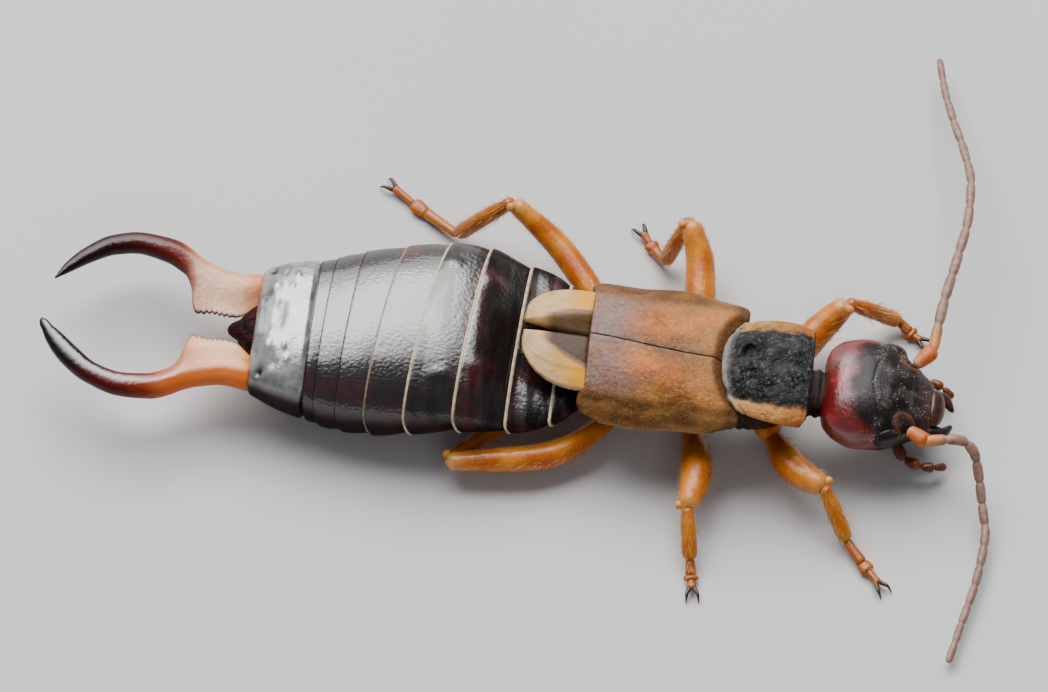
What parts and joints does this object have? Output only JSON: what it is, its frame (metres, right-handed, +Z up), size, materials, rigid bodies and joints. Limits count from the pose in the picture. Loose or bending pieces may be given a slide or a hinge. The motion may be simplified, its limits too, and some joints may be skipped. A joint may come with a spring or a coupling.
{
  "type": "earwig",
  "caption": "Male common earwig, life size, standing on the floor with open forceps, folded wings under short wing cases, and spread legs and antennae.",
  "frame": {"origin": "on the floor, under the middle of the whole model's box", "axes": "+X towards the head, +Y towards the animal's left, +Z up"},
  "size_m": [0.018, 0.0126, 0.0023],
  "materials": {
    "head_shell": "glossy red-brown shell, black in front",
    "eye": "glossy black, finely faceted",
    "mouthparts": "satin dark brown",
    "antennae": "fine downy brown",
    "membrane": "matt tan skin",
    "pronotum": "granular grey-black shell with buff side margins",
    "wing_cases": "leathery brown, finely grained",
    "wing_tips": "satin buff yellow",
    "abdomen": "glossy black-brown, finely pitted",
    "forceps": "glossy horn, pale at the root and dark red to black at the tips",
    "legs": "satin amber, softly translucent"
  },
  "bodies": {
    "root": {"head": "head_shell", "eye_left": "eye", "eye_right": "eye", "labrum": "mouthparts", "labium": "mouthparts", "mandible_left": "mouthparts", "mandible_right": "mouthparts", "palp_left": "legs", "palp_right": "legs", "antenna_left": "antennae", "antenna_right": "antennae", "neck": "membrane", "pronotum": "pronotum", "thorax": "membrane", "elytron_left": "wing_cases", "elytron_right": "wing_cases", "wing_tip_left": "wing_tips", "wing_tip_right": "wing_tips", "abdomen": "abdomen", "last_segment": "abdomen", "pygidium": "abdomen", "forceps_left": "forceps", "forceps_right": "forceps", "leg_front_left": "legs", "leg_front_right": "legs", "leg_mid_left": "legs", "leg_mid_right": "legs", "leg_hind_left": "legs", "leg_hind_right": "legs"}
  },
  "joints": []
}
